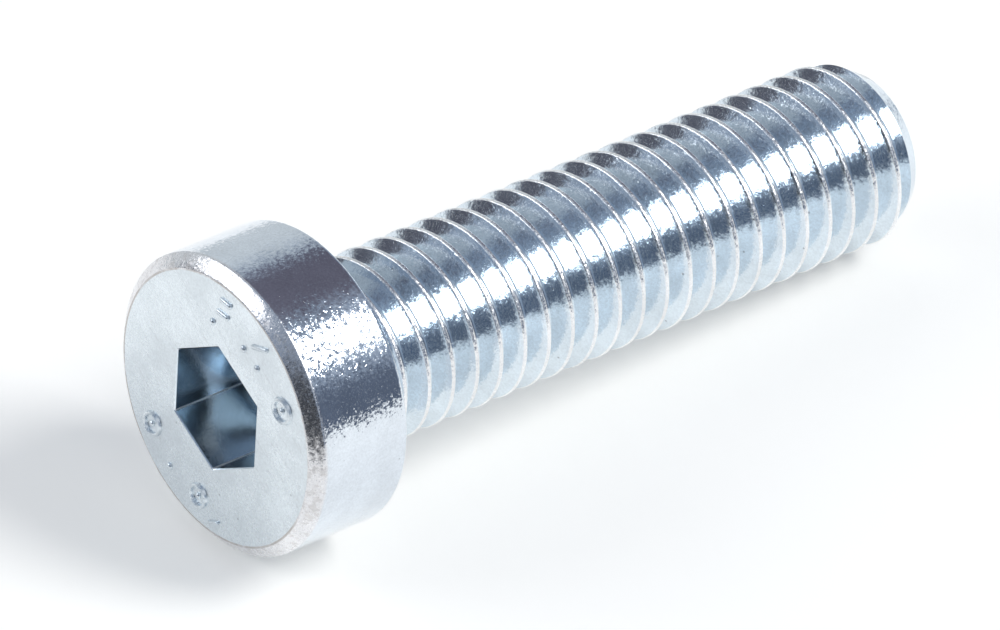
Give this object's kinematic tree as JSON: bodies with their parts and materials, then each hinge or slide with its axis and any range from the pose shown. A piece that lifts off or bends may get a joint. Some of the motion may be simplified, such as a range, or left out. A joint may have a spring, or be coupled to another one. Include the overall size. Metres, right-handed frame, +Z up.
{
  "type": "low head socket cap screw",
  "caption": "zinc plated steel screw with a low cylindrical head, a hexagon socket and a coarse metric thread all the way up to a short neck, lying on its side",
  "frame": {"origin": "on the floor, below the middle of the box round the screw, which lies on its side", "axes": "+X is along the floor from the head to the point, +Z is up"},
  "size_m": [0.0352, 0.0128, 0.0132],
  "materials": {
    "zinc_plated_steel": "bright bluish zinc plating, satin on the outer face and glossier on the side and the thread"
  },
  "bodies": {
    "root": {"screw": "zinc_plated_steel"}
  },
  "joints": []
}
